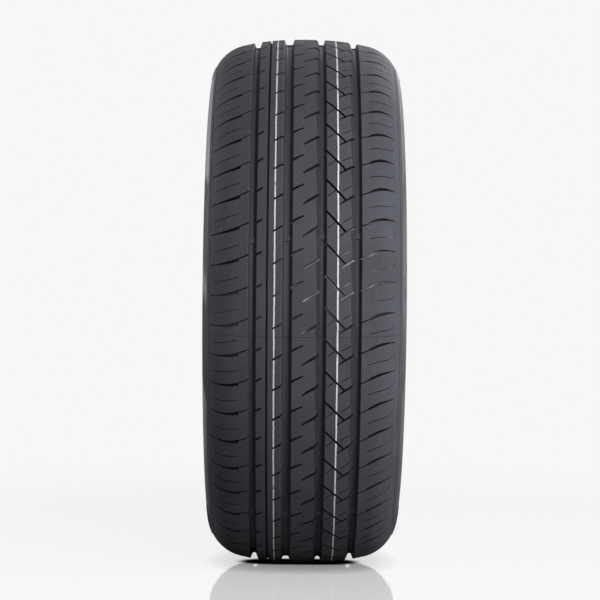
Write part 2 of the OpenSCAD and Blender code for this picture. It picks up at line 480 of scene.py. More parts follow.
@dataclass
class Tread:
    """One pitch of the tread pattern, cut into a flat length of the section.

    A flat length lies with x across, y up along the tread and z at its radius, in millimetres.
    """

    section: Section
    rule: PitchRule
    border: float = 0.2
    turns: int = 4
    bar_h: float = 1.6
    bar_l: float = 6.5
    bar_root: float = 1.0
    bar_lean: float = 0.05
    bar_slope: float = 1.8
    bar_room: Pair = (0.42, 0.98)
    vents: tuple[Pair, ...] = ((-1.3, 0.0), (44.5, 14.0), (-47.0, 4.6), (82.0, 5.9))
    vent_size: float = 0.65
    vent_taper: float = 0.6
    vent_l: float = 1.0
    tooth_w: float = 3.0
    tooth_end_w: float = 0.8
    tooth_depth: float = 2.75
    tooth_draft: float = 20.0
    tooth_gaps: Pair = (1.0, 0.6)
    tooth_over: float = 0.8
    tooth_lift: tuple[float, float, float] = (1.2, 0.0, 5.0)
    cut_over: float = 0.7
    floor_in: float = -0.12
    least_half: float = 0.1
    main_depth: float = 7.0
    rib_step: float = 9.0
    end_near: float = 1e-3
    weld: float = 0.01
    keys_per_mm: int = 50
    grooves: tuple[Groove, ...] = (
        Groove(-61.7, -52.3),
        # The narrow groove wears the chamfer finish, whose darker colour is painted shade.
        Groove(-42.15, -39.85, 3.0, 2.0, 0.3, 0.2, Zone.CHAMFER),
        Groove(-25.5, -13.7),
        Groove(13.7, 23.1),
        Groove(51.9, 61.3),
    )
    rib_slots: tuple[Slot, ...] = (
        Slot(((-54, 3.8), (-46.4, 8.8)), (2.6, 2.0), (4.0, 3.4)),
        Slot(((-34.6, -6.0), (-23, 1.2)), (1.7, 2.5), (3.6, 4.0)),
        Slot(((-16, 4.2), (-8, 9.2), (-1.5, 12.4)), (2.9, 2.1, 1.2), (4.4, 4.2, 3.4)),
        Slot(
            ((-2.6, -12), (3, -7.8), (9.4, -3.6), (16, 1.2)),
            (1.2, 2.4, 2.8, 2.9),
            (3.0, 5.0, 5.0, 5.0),
        ),
        Slot(((36.6, -11.6), (44, -6.3), (54, 0.6)), (1.0, 2.0, 2.4), (4.0, 5.0, 5.0)),
    )
    shoulder_slots: tuple[Slot, ...] = (
        Slot(
            ((-102.5, -4.6), (-96, -4.8), (-90, -4.4), (-84, -3.6), (-78, -2.5), (-71.3, -0.4)),
            (0.5, 0.9, 1.8, 2.7, 3.5, 3.8),
            (0.4, 1.6, 3.8, 4.6, 4.6, 4.4),
        ),
        Slot(
            ((70.3, 6.4), (76, 9.4), (82, 11.8), (88, 12.9), (93, 13.4), (98, 13.6)),
            (2.6, 3.2, 3.2, 2.4, 1.1, 0.5),
            (4.4, 4.6, 4.6, 4.0, 1.8, 0.4),
        ),
    )
    hairlines: tuple[Slot, ...] = (
        Slot(
            ((-99, 11.6), (-85, 13.6), (-71.8, 17)),
            (0.6, 1.0, 0.8),
            (0.6, 2.4, 2.0),
            step=7.0,
            lip=0.0,
        ),
        Slot(
            ((69.5, -13), (80, -9.8), (91, -8.0), (96, -5.4), (98, -0.6)),
            (0.8, 1.0, 0.7, 0.6, 0.4),
            (2.0, 2.4, 1.2, 0.8, 0.3),
            step=7.0,
            lip=0.0,
        ),
        Slot(((24.3, -1.8), (33.2, 6.0)), (1.0, 0.9), (2.4, 2.4), step=7.0, lip=0.0),
        Slot(((40.3, 5.2), (50, 11.6)), (0.9, 1.0), (2.4, 2.4), step=7.0, lip=0.0),
    )
    crossings: tuple[Slot, ...] = (
        Slot(
            ((21, 19.8), (28.2, 12.0), (35.3, 3.8), (44, -6.6)),
            (2.1, 2.1, 2.1, 1.9),
            (5.0, 5.0, 5.0, 5.0),
        ),
        Slot(((-73, 0.3), (-66, 3.3), (-59, 6.6)), (1.3, 1.2, 1.2), (3.6, 3.8, 4.0)),
        Slot(((59, 1.2), (66, 4.0), (72, 6.8)), (1.2, 1.2, 1.3), (4.0, 3.8, 3.6)),
    )

    @property
    def length(self) -> float:
        """Length of an even pitch along the tread."""
        return math.pi * self.section.outer_d / self.rule.count

    def outline(self) -> Marks:
        """The whole closed section.

        Returns:
            The points, each with the finish of the face that follows it.
        """
        edge = self.section.tread_edge
        marks: Marks = []
        at = -edge
        for groove in [*self.grooves, None]:
            stop = groove.left - groove.lip if groove else edge
            count = max(1, round((stop - at) / self.rib_step))
            first = 0 if at == -edge else 1
            for i in range(first, count):
                y = at + (stop - at) * i / count
                marks.append((Vector((y, self.section.surface(y))), Zone.TREAD))
            if groove:
                marks += groove.profile(self.section)
                at = groove.right + groove.lip
        marks.append((Vector((edge, self.section.surface(edge))), Zone.TREAD))
        right = self.section.half()
        left = [(Vector((-p.x, p.y)), zone) for p, zone in right]
        zones = [Zone.TREAD] + [zone for _, zone in left]
        mirrored = [(left[i][0], zones[i]) for i in range(len(left) - 2, -1, -1)]
        return marks + right + mirrored

    def block(self) -> Mesh:
        """A pitch of the section with no pattern in it, closed at both ends.

        Returns:
            The flat mesh.
        """
        marks = self.outline()
        bm = bmesh.new()
        start = self.border * self.length
        cap = bm.faces.new([bm.verts.new((p.x, start, p.y)) for p, _ in marks])
        step = Vector((0, self.length / self.turns, 0))
        bmesh.ops.spin(bm, geom=[cap], axis=(0, 1, 0), dvec=step, angle=0.0, steps=self.turns)
        bmesh.ops.recalc_face_normals(bm, faces=bm.faces[:])
        zone_at = {}
        for (p, zone), (q, _) in zip(marks, marks[1:] + marks[:1]):
            zone_at[spot_key((p.x + q.x) / 2, (p.y + q.y) / 2, self.keys_per_mm)] = zone
        for face in bm.faces:
            middle = face.calc_center_median()
            key = spot_key(middle.x, middle.z, self.keys_per_mm)
            face.material_index = zone_at.get(key, Zone.TREAD)
        return to_mesh(bm, "flat_pitch")

    @staticmethod
    def _faces(verts: list[BMVert]) -> list[BMFace]:
        """Faces at some vertices, each once and in their order."""
        return list(dict.fromkeys(face for vert in verts for face in vert.link_faces))

    @staticmethod
    def _push(bm: BMesh, faces: list[BMFace]) -> tuple[list[BMVert], list[BMFace]]:
        """Extrudes faces.

        Args:
            bm: their bmesh.
            faces: the faces.

        Returns:
            The new vertices and faces, still in place.
        """
        edges = dict.fromkeys(edge for face in faces for edge in face.edges)
        made = bmesh.ops.extrude_face_region(bm, geom=[*faces, *edges])["geom"]
        moved = [g for g in made if isinstance(g, BMVert)]
        return moved, [g for g in made if isinstance(g, BMFace)]

    def _place(self, across: float, up: float) -> Vector:
        """Point of the tread surface in the flat length."""
        return Vector((across, up, self.section.surface(across)))

    def _out(self, across: float) -> Vector:
        """Direction out of the rubber in the flat length."""
        way = self.section.way_out(across)
        return Vector((way.x, 0.0, way.y))

    def _sweep(self, bm: BMesh, slot: Slot, shift: float) -> None:
        """Adds the cutter of a slot: a strip above the surface, pushed down to the slot's floor.

        Args:
            bm: the bmesh of the cutters.
            slot: the slot.
            shift: how far it is moved up the tread.
        """
        stations = slot.stations()
        last = len(stations) - 1
        frames = []
        for k, (across, up, width, depth) in enumerate(stations):
            before, after = stations[max(k - 1, 0)], stations[min(k + 1, last)]
            along = self._place(*after[:2]) - self._place(*before[:2])
            out = self._out(across)
            side = out.cross(along).normalized()
            frames.append((self._place(across, up + shift), out, side, width / 2, depth))
        grid = bmesh.ops.create_grid(bm, x_segments=last, y_segments=1, size=1.0)["verts"]
        places = {v: (round((v.co.x + 1) / 2 * last), 1 if v.co.y > 0 else -1) for v in grid}
        over = self.cut_over
        levels = [(over, slot.lip + over), (-slot.lip, 0.0), (None, self.floor_in)]
        if not slot.lip:
            levels = [(over, 0.0), (None, 0.0)]
        self._level(places, frames, *levels[0])
        cap = self._faces(grid)
        for height, spread in levels[1:]:
            where = {v.co.to_tuple(4): places[v] for v in places}
            known = set(bm.faces)
            moved, cap = self._push(bm, cap)
            # The lip faces get the lip finish, which is painted shade.
            if height == -slot.lip:
                for face in set(bm.faces) - known - set(cap):
                    face.material_index = Zone.LIP
            places = {v: where[v.co.to_tuple(4)] for v in moved}
            self._level(places, frames, height, spread)
        # The floor faces get the slot floor finish: painted shade, with real gloss.
        for face in cap:
            face.material_index = Zone.SLOT_FLOOR

    def _level(
        self,
        places: dict[BMVert, tuple[int, int]],
        frames: list[tuple[Vector, Vector, Vector, float, float]],
        height: float | None,
        spread: float,
    ) -> None:
        """Moves a strip of vertices to one level of a slot's cutter.

        Args:
            places: station and side of each vertex.
            frames: surface point, way out, side, half width and depth of each station.
            height: height above the surface, or None for the slot's own floor.
            spread: how much wider than the slot the strip is on each side.
        """
        for vert, (station, side) in places.items():
            base, out, across, half, depth = frames[station]
            level = -depth if height is None else height
            vert.co = base + out * level + across * (side * max(half + spread, self.least_half))

    def _tooth(self, bm: BMesh, edge: float, shift: float) -> None:
        """Adds the cutter of a saw-tooth chamfer, between two slot mouths.

        Args:
            bm: the bmesh of the cutters.
            edge: right edge of the rib that it is cut in.
            shift: how far it is moved up the tread.
        """
        gap_above, gap_below = self.tooth_gaps
        top, low = shift - gap_above, shift - self.length + gap_below
        slope = math.tan(math.radians(self.tooth_draft))
        grid = bmesh.ops.create_grid(bm, x_segments=self.turns, y_segments=1, size=1.0)["verts"]
        for vert in grid:
            share = (vert.co.x + 1) / 2
            width = self.tooth_w + (self.tooth_end_w - self.tooth_w) * share
            start = Vector((edge - width, self.section.surface(edge - width)))
            foot = self.section.surface(edge) - self.tooth_depth
            end = Vector((edge + self.tooth_depth * slope, foot))
            way = (end - start).normalized() * self.tooth_over
            spot = end + way if vert.co.y > 0 else start - way
            vert.co = (spot.x, top + (low - top) * share, spot.y)
        moved, _ = self._push(bm, self._faces(grid))
        bmesh.ops.translate(bm, verts=moved, vec=Vector(self.tooth_lift))

    def _cutters(self) -> list[Mesh]:
        """The cutters of one pitch and its neighbours.

        Returns:
            The slots first, then what crosses them, then the teeth.
        """
        meshes = []
        tools = {
            "slots": (*self.rib_slots, *self.shoulder_slots, *self.hairlines),
            "crossings": self.crossings,
            "teeth": (self.grooves[3].left, self.grooves[4].left),
        }
        for name, shapes in tools.items():
            bm = bmesh.new()
            add = self._tooth if name == "teeth" else self._sweep
            for turn in (-1, 0, 1, 2):
                for shape in shapes:
                    add(bm, shape, turn * self.length)
            bmesh.ops.recalc_face_normals(bm, faces=bm.faces[:])
            # Cutter walls give the slots the slot finish and the teeth the chamfer finish, both
            # painted shade.
            for face in bm.faces:
                if face.material_index == Zone.TREAD:
                    face.material_index = Zone.CHAMFER if name == "teeth" else Zone.SLOT
            meshes.append(to_mesh(bm, name))
        return meshes

    def _bar(self, up: float) -> Mesh:
        """The wear bars of one place, across the main grooves.

        Args:
            up: their place along the tread.

        Returns:
            The flat mesh.
        """
        bm = bmesh.new()
        for groove in self.grooves:
            if groove.depth < self.main_depth:
                continue
            low = groove.floor(self.section)
            wide = groove.right - groove.left - 2 * self.bar_root
            for vert in bmesh.ops.create_cube(bm, size=1.0)["verts"]:
                top = vert.co.z > 0
                half = self.bar_l / 2 + (0.0 if top else self.bar_slope)
                across = (groove.left + groove.right) / 2 + vert.co.x * wide
                along = up + across * self.bar_lean + math.copysign(half, vert.co.y)
                vert.co = (across, along, low + (self.bar_h if top else -self.bar_root))
        for face in bm.faces:
            face.material_index = Zone.GROOVE
        return to_mesh(bm, "wear_bars")

    def _vents(self) -> Mesh:
        """The stubs that the mould's vents leave on the ribs, a few in each pitch.

        Returns:
            The flat mesh.
        """
        bm = bmesh.new()
        low = self.border * self.length
        for across, up in self.vents:
            spot = self._place(across, (up - low) % self.length + low)
            turn = self._out(across).to_track_quat("Z", "Y").to_matrix().to_4x4()
            bmesh.ops.create_cone(
                bm,
                cap_ends=True,
                segments=8,
                radius1=self.vent_size,
                radius2=self.vent_size * self.vent_taper,
                depth=self.vent_l,
                matrix=Matrix.Translation(spot) @ turn,
            )
        return to_mesh(bm, "vents")

    def pitch(self, materials: list[Material], bar: float | None) -> Mesh:
        """One pitch with its pattern cut in, open at both ends.

        Args:
            materials: the finishes, in the order of Zone.
            bar: place of a wear bar along the pitch, as a share of it, or None.

        Returns:
            The mesh, still flat and in millimetres.
        """
        added = [self._vents()]
        if bar is not None:
            low, high = self.bar_room
            added.append(self._bar(min(max(bar, low), high) * self.length))
        made = self._cut(added, materials)
        bm = bmesh.new()
        bm.from_mesh(made)
        self._order(bm.verts, lambda vert: vert.co[:])
        self._order(bm.faces, lambda face: face.calc_center_median()[:])
        ends = [self.border * self.length, (self.border + 1) * self.length]
        caps = [
            f
            for f in bm.faces
            if any(all(abs(v.co.y - end) < self.end_near for v in f.verts) for end in ends)
        ]
        bmesh.ops.delete(bm, geom=caps, context="FACES_ONLY")
        bmesh.ops.remove_doubles(bm, verts=bm.verts[:], dist=self.weld)
        wide = [f for f in bm.faces if len(f.verts) > 4]
        bmesh.ops.triangulate(bm, faces=wide, quad_method="BEAUTY", ngon_method="BEAUTY")
        bm.to_mesh(made)
        bm.free()
        return made

    @staticmethod
    def _order(items: BMVertSeq | BMFaceSeq, place: Callable[[object], tuple[float, ...]]) -> None:
        """Sorts elements by their place, since a boolean gives them in another order each run.

        Args:
            items: vertices or faces of a bmesh.
            place: gives the place of one of them.
        """
        rank = {item: number for number, item in enumerate(sorted(items, key=place))}
        items.sort(key=rank.get)
        items.index_update()

    def _cut(self, added: list[Mesh], materials: list[Material]) -> Mesh:
        """Sets stubs and bars on the plain pitch and cuts its pattern.

        Args:
            added: what stands on it.
            materials: the finishes, in the order of Zone.

        Returns:
            The mesh, closed at both ends.
        """
        objects = []
        for mesh in (self.block(), *added, *self._cutters()):
            for material in materials:
                mesh.materials.append(material)
            objects.append(stand(mesh.name, mesh))
        body, *tools = objects
        for i, tool in enumerate(tools):
            cut = body.modifiers.new(tool.name, "BOOLEAN")
            cut.object = tool
            cut.solver = "EXACT"
            cut.operation = "UNION" if i < len(added) else "DIFFERENCE"
        graph = bpy.context.evaluated_depsgraph_get()
        made = bpy.data.meshes.new_from_object(body.evaluated_get(graph))
        for piece in objects:
            mesh = piece.data
            bpy.data.objects.remove(piece)
            bpy.data.meshes.remove(mesh)
        return made


@dataclass
class RidgeBand:
    """The ridges of the upper sidewalls, which fade out and leave smooth fields between them."""

    section: Section
    fields: tuple[Pair, ...] = ((3.2, 29.0), (-23.0, 0.3))
    quarter: float = 90.0
    fade: float = 1.8
    lean: float = 1.1
    keys_per_mm: int = 20

    def __post_init__(self) -> None:
        """Looks up the crest points of the ridges."""
        self.crests: dict[tuple[int, int], tuple[int, Vector]] = {}
        arc = self.section.shoulder
        for index, ridge in enumerate(self.section.ridges):
            top = arc.degrees(ridge.top)
            for angle in (ridge.angle + top, ridge.angle - top):
                crest, foot = arc.at(angle, ridge.height), arc.at(angle)
                self.crests[spot_key(crest.x, crest.y, self.keys_per_mm)] = (index, foot)

    def share(self, index: int, angle: float) -> float:
        """How far a ridge stands up.

        Args:
            index: number of the ridge, from the tread down.
            angle: turn round the tyre, in degrees.

        Returns:
            Its share of the full height.
        """
        place = (angle + self.quarter / 2) % self.quarter - self.quarter / 2 - self.lean * index
        shares = [min(place - low, high - place) / self.fade for low, high in self.fields]
        return min(max(0.0, *shares), 1.0)

    def settle(self, across: float, radius: float, angle: float) -> Pair:
        """Lowers a crest point where its ridge fades out, and leaves all other points.

        Args:
            across: distance of the point from the tyre's middle.
            radius: its radius.
            angle: its turn round the tyre, in degrees.

        Returns:
            Its new distance and radius.
        """
        found = self.crests.get(spot_key(abs(across), radius, self.keys_per_mm))
        if found is None:
            return across, radius
        index, foot = found
        share = self.share(index, angle)
        reach = foot.x + (abs(across) - foot.x) * share
        return math.copysign(reach, across), foot.y + (radius - foot.y) * share


@dataclass
class Pattern:
    """Shader node tree in the making, with short calls for its common nodes."""

    tree: NodeTree

    def node(self, kind: str, **settings: object) -> Node:
        """Adds a node.

        Args:
            kind: type of the node.
            settings: its properties, by name.

        Returns:
            The node.
        """
        made = self.tree.nodes.new(kind)
        for name, value in settings.items():
            setattr(made, name, value)
        return made

    def feed(self, socket: NodeSocket, value: object) -> None:
        """Links an input to another socket, or sets it to a plain value.

        Args:
            socket: the input.
            value: the socket that it reads, or its value.
        """
        if isinstance(value, NodeSocket):
            self.tree.links.new(value, socket)
        else:
            socket.default_value = value

    def fill(self, node: Node, **values: object) -> Node:
        """Feeds the inputs of a node.

        Args:
            node: the node.
            values: what each input gets, by its name with _ for a space.

        Returns:
            The node.
        """
        for name, value in values.items():
            self.feed(node.inputs[name.replace("_", " ")], value)
        return node

    def math(self, operation: str, *values: object, clamp: bool = False) -> NodeSocket:
        """Adds a Math node.

        Args:
            operation: what it works out.
            values: its inputs, in order.
            clamp: keeps the result between 0 and 1.

        Returns:
            The result.
        """
        made = self.node("ShaderNodeMath", operation=operation, use_clamp=clamp)
        for socket, value in zip(made.inputs, values):
            self.feed(socket, value)
        return made.outputs[0]

    def plus(self, first: object, second: object, clamp: bool = False) -> NodeSocket:
        """Sum of two values."""
        return self.math("ADD", first, second, clamp=clamp)

    def minus(self, first: object, second: object) -> NodeSocket:
        """Difference of two values."""
        return self.math("SUBTRACT", first, second)

    def times(self, first: object, second: object) -> NodeSocket:
        """Product of two values."""
        return self.math("MULTIPLY", first, second)

    def length(self, x: object, y: object) -> NodeSocket:
        """Length of a flat vector."""
        return self.math("SQRT", self.plus(self.times(x, x), self.times(y, y)))

    def wave(self, turn: object, rate: float) -> NodeSocket:
        """Sine of a turn times a rate."""
        return self.math("SINE", self.times(turn, rate))

    def ramp(
        self, value: object, low: object, high: object, start: float = 0.0, end: float = 1.0
    ) -> NodeSocket:
        """Adds a smooth Map Range, clamped at its ends.

        Args:
            value: what it reads.
            low: value where it starts.
            high: value where it ends.
            start: its result at low.
            end: its result at high.

        Returns:
            The result.
        """
        made = self.node("ShaderNodeMapRange", interpolation_type="SMOOTHSTEP")
        self.fill(made, Value=value, From_Min=low, From_Max=high, To_Min=start, To_Max=end)
        return made.outputs[0]

    def noise(
        self, place: object, scale: float, detail: float = 2.0, rough: float = 0.5
    ) -> NodeSocket:
        """Adds a noise texture.

        Args:
            place: where it is read.
            scale: how fine it is.
            detail: number of its finer layers.
            rough: how strong they are.

        Returns:
            Its value, from 0 to 1.
        """
        made = self.node("ShaderNodeTexNoise")
        self.fill(made, Vector=place, Scale=scale, Detail=detail, Roughness=rough)
        return made.outputs[0]

    def swing(self, place: object, *settings: float) -> NodeSocket:
        """Adds a noise texture that swings round zero, with the settings of noise."""
        return self.minus(self.noise(place, *settings), 0.5)

    def mix(self, share: object, first: object, second: object) -> NodeSocket:
        """Adds a colour mix.

        Args:
            share: share of the second colour.
            first: the first colour.
            second: the second colour.

        Returns:
            The mixed colour.
        """
        made = self.node("ShaderNodeMix", data_type="RGBA")
        for socket, value in zip((made.inputs[0], *made.inputs[6:8]), (share, first, second)):
            self.feed(socket, value)
        return made.outputs[2]

    def blend(self, share: object, first: Node, second: Node) -> Node:
        """Adds a mix of two shaders.

        Args:
            share: share of the second shader.
            first: node of the first shader.
            second: node of the second shader.

        Returns:
            The node of the mix.
        """
        made = self.node("ShaderNodeMixShader")
        for socket, value in zip(made.inputs, (share, first.outputs[0], second.outputs[0])):
            self.feed(socket, value)
        return made

    def group(self, tree: NodeTree, **values: object) -> Node:
        """Adds a node group with its values."""
        return self.fill(self.node("ShaderNodeGroup", node_tree=tree), **values)


def new_group(
    name: str, inputs: dict[str, float], outputs: tuple[str, ...]
) -> tuple[Pattern, dict[str, NodeSocket], Node]:
    """Starts a shader node group.

    Args:
        name: the group's name.
        inputs: name and default of each value input; "Place" is a vector.
        outputs: names of the value outputs.

    Returns:
        The pattern, its input sockets by name, and its output node.
    """
    tree = bpy.data.node_groups.new(name, "ShaderNodeTree")
    for label, default in inputs.items():
        kind = "NodeSocketVector" if label == "Place" else "NodeSocketFloat"
        socket = tree.interface.new_socket(label, in_out="INPUT", socket_type=kind)
        if kind == "NodeSocketFloat":
            socket.default_value = default
    for label in outputs:
        tree.interface.new_socket(label, in_out="OUTPUT", socket_type="NodeSocketFloat")
    p = Pattern(tree)
    given = p.node("NodeGroupInput")
    return p, {s.name: s for s in given.outputs if s.name}, p.node("NodeGroupOutput")


def new_material(name: str) -> tuple[Material, Pattern]:
    """Starts a material.

    Args:
        name: its name.

    Returns:
        The material, and the pattern of its empty node tree.
    """
    material = bpy.data.materials.new(name)
    material.use_nodes = True
    material.node_tree.nodes.clear()
    return material, Pattern(material.node_tree)


@dataclass
class Effects:
    """The shared effects of the tyre's finishes, each a node group that is built once."""

    fine_scale: float = 1400.0
    pore_scale: float = 520.0
    cloud_scale: float = 14.0
    smear_stretch: tuple[float, float, float] = (12.0, 60.0, 12.0)
    smear_scale: float = 3.0
    smear_range: Pair = (0.56, 0.72)
    pores: float = 0.6
    scuff_shade: float = 0.3
    scuff_gloss: float = 0.4
    seam_edge: Pair = (0.6, 1.4)
    rib_edge: float = 0.6
    wander_scale: float = 45.0
    fray_scale: float = 420.0
    fray: float = 0.7
    line_edge: Pair = (0.42, 0.58)
    worn_scale: float = 60.0
    worn_range: Pair = (0.30, 0.42)

    def __post_init__(self) -> None:
        """Builds the groups."""
        self.wheel = self._wheel()
        self.grain = self._grain()
        self.band = self._band()
        self.seam = self._seam()
        self.ribs = self._ribs()
        self.line = self._line()

    @staticmethod
    def _wheel() -> NodeTree:
        """Place on the wheel: across and radius in millimetres, and the turn in degrees.

        Returns:
            The node group.
        """
        p, given, out = new_group("wheel_place", {"Place": 0.0}, ("Across", "Radius", "Turn"))
        x, y, z = p.fill(p.node("ShaderNodeSeparateXYZ"), Vector=given["Place"]).outputs
        turn = p.math("DEGREES", p.math("ARCTAN2", z, x))
        p.fill(out, Across=p.times(y, 1 / MM), Radius=p.times(p.length(x, z), 1 / MM), Turn=turn)
        return p.tree

    def _grain(self) -> NodeTree:
        """Moulded rubber: a fine leathery grain, faint clouds and a few scuffs.

        Returns:
            The node group.
        """
        p, given, out = new_group(
            "rubber_grain", {"Place": 0.0, "Clouds": 1.0}, ("Height", "Shade", "Gloss")
        )
        place = given["Place"]
        smears = p.fill(p.node("ShaderNodeMapping"), Vector=place, Scale=self.smear_stretch)
        scuff = p.ramp(p.noise(smears.outputs[0], self.smear_scale, 5.0, 0.6), *self.smear_range)
        fine = p.swing(place, self.fine_scale, 3.0, 0.6)
        pores = p.times(p.swing(place, self.pore_scale), self.pores)
        clouds = p.times(p.swing(place, self.cloud_scale, 4.0, 0.55), given["Clouds"])
        p.fill(
            out,
            Height=p.plus(fine, pores),
            Shade=p.plus(clouds, p.times(scuff, self.scuff_shade)),
            Gloss=p.minus(clouds, p.times(scuff, self.scuff_gloss)),
        )
        return p.tree

    @staticmethod
    def _band() -> NodeTree:
        """A band between two values, with soft edges.

        Returns:
            The node group.
        """
        p, given, out = new_group(
            "band", {"Value": 0.0, "Low": 0.0, "High": 1.0, "Soft": 0.2}, ("Mask",)
        )
        half = p.times(given["Soft"], 0.5)
        rise, fall = (
            p.ramp(given["Value"], p.minus(given[edge], half), p.plus(given[edge], half))
            for edge in ("Low", "High")
        )
        p.fill(out, Mask=p.times(rise, p.minus(1.0, fall)))
        return p.tree

    def _seam(self) -> NodeTree:
        """Fine parting lines where the segments of the mould meet, at even turns.

        Returns:
            The node group.
        """
        p, given, out = new_group(
            "mould_seams", {"Turn": 0.0, "First": 37.8, "Every": 44.9, "Width": 0.05}, ("Mask",)
        )
        place = p.math("DIVIDE", p.minus(given["Turn"], given["First"]), given["Every"])
        near = p.math("ABSOLUTE", p.minus(place, p.math("ROUND", place)))
        ratio = p.math("DIVIDE", p.times(near, given["Every"]), given["Width"])
        p.fill(out, Mask=p.minus(1.0, p.ramp(ratio, *self.seam_edge)))
        return p.tree

    def _ribs(self) -> NodeTree:
        """Fine radial ribs, as in the fields of a sidewall.

        Returns:
            The node group.
        """
        p, given, out = new_group("radial_ribs", {"Turn": 0.0, "Every": 0.25}, ("Height",))
        wave = p.wave(p.math("DIVIDE", given["Turn"], given["Every"]), math.tau)
        p.fill(out, Height=p.ramp(wave, -self.rib_edge, self.rib_edge))
        return p.tree

    def _line(self) -> NodeTree:
        """A painted line round the tread, with uneven edges and worn places.

        Returns:
            The node group.
        """
        p, given, out = new_group(
            "painted_line", {"Place": 0.0, "Across": 0.0, "Middle": 0.0, "Width": 2.3}, ("Mask",)
        )
        place = given["Place"]
        across = p.plus(given["Across"], p.swing(place, self.wander_scale, 3.0))
        off = p.math("ABSOLUTE", p.minus(across, given["Middle"]))
        reach = p.plus(off, p.times(p.swing(place, self.fray_scale), self.fray))
        line = p.ramp(p.math("DIVIDE", reach, given["Width"]), *self.line_edge)
        worn = p.ramp(p.noise(place, self.worn_scale, 6.0, 0.7), *self.worn_range)
        p.fill(out, Mask=p.times(p.minus(1.0, line), worn))
        return p.tree


@dataclass(frozen=True)
class RubberFinish:
    """One finish of the tyre's rubber."""

    name: str
    colour: tuple[float, float, float]
    roughness: float
    specular: float
    grain: float = 0.00006
    clouds: float = 1.0
    painted: bool = False
    seams: bool = False
    sidewall: bool = False
    liner: bool = False
    shades: Pair = (0.72, 1.32)
    shade_swing: float = 1.1
    gloss_swing: float = -0.12
    seam_h: float = -0.00025
    seam_shade: float = 0.5
    seam_colour: Colour = (0.012, 0.012, 0.014, 1.0)
    bladder_slant: float = 0.12
    bladder_every: float = 1.5
    bladder_edge: Pair = (0.55, 0.95)
    bladder_h: float = 0.0004
    rib_every: float = 0.375
    rib_band: Pair = (262.0, 272.0)
    rib_soft: float = 0.5
    rib_fields: int = 2
    rib_field_edge: Pair = (-0.30, -0.27)
    rib_h: float = 0.00035
    lines: tuple[Pair, ...] = ((-32.9, 1.5), (35.4, 1.6))
    line_colour: Colour = (0.70, 0.70, 0.68, 1.0)
    line_top: Pair = (313.2, 314.0)
    line_rough: float = 0.1

    def build(self, effects: Effects) -> Material:
        """Makes the material.

        Args:
            effects: the shared node groups.

        Returns:
            The material.
        """
        material, p = new_material(self.name)
        shader = p.fill(p.node("ShaderNodeBsdfPrincipled"), Specular_IOR_Level=self.specular)
        p.fill(p.node("ShaderNodeOutputMaterial"), Surface=shader.outputs[0])
        place = p.node("ShaderNodeTexCoord").outputs["Object"]
        wheel = p.group(effects.wheel, Place=place).outputs
        grain = p.group(effects.grain, Place=place, Clouds=self.clouds).outputs
        dark, light = ((*(c * share for c in self.colour), 1.0) for share in self.shades)
        shade = p.plus(p.times(grain["Shade"], self.shade_swing), 0.5, clamp=True)
        colour = p.mix(shade, dark, light)
        rough = p.plus(p.times(grain["Gloss"], self.gloss_swing), self.roughness, clamp=True)
        height = p.times(grain["Height"], self.grain)
        if self.seams:
            seam = p.group(effects.seam, Turn=wheel["Turn"]).outputs[0]
            height = p.plus(height, p.times(seam, self.seam_h))
            colour = p.mix(p.times(seam, self.seam_shade), colour, self.seam_colour)
        if self.liner:
            height = p.plus(height, self._bladder(p, wheel))
        if self.sidewall:
            height = p.plus(height, self._fields(p, effects, wheel))
        if self.painted:
            for middle, width in self.lines:
                line = p.group(
                    effects.line, Place=place, Across=wheel["Across"], Middle=middle, Width=width
                ).outputs[0]
                mask = p.times(line, p.ramp(wheel["Radius"], *self.line_top))
                colour = p.mix(mask, colour, self.line_colour)
                rough = p.plus(rough, p.times(mask, self.line_rough), clamp=True)
        bump = p.fill(p.node("ShaderNodeBump"), Strength=1.0, Distance=1.0, Height=height)
        p.fill(shader, Normal=bump.outputs[0], Base_Color=colour, Roughness=rough)
        return material

    def _bladder(self, p: Pattern, wheel: bpy.types.NodeOutputs) -> NodeSocket:
        """Slanted fine ribs that the curing bladder leaves on the inner liner.

        Args:
            p: the material's pattern.
            wheel: place on the wheel.

        Returns:
            Their height.
        """
        slant = p.plus(wheel["Turn"], p.times(wheel["Across"], self.bladder_slant))
        wave = p.wave(slant, math.tau / self.bladder_every)
        return p.times(p.ramp(wave, *self.bladder_edge), self.bladder_h)

    def _fields(self, p: Pattern, effects: Effects, wheel: bpy.types.NodeOutputs) -> NodeSocket:
        """Radial ribs in a band of the sidewall, with plain fields between them.

        Args:
            p: the material's pattern.
            effects: the shared node groups.
            wheel: place on the wheel.

        Returns:
            Their height.
        """
        low, high = self.rib_band
        ribs = p.group(effects.ribs, Turn=wheel["Turn"], Every=self.rib_every).outputs[0]
        band = p.group(effects.band, Value=wheel["Radius"], Low=low, High=high, Soft=self.rib_soft)
        field = p.ramp(p.wave(wheel["Turn"], math.radians(self.rib_fields)), *self.rib_field_edge)
        return p.times(p.times(p.times(ribs, band.outputs[0]), field), self.rib_h)


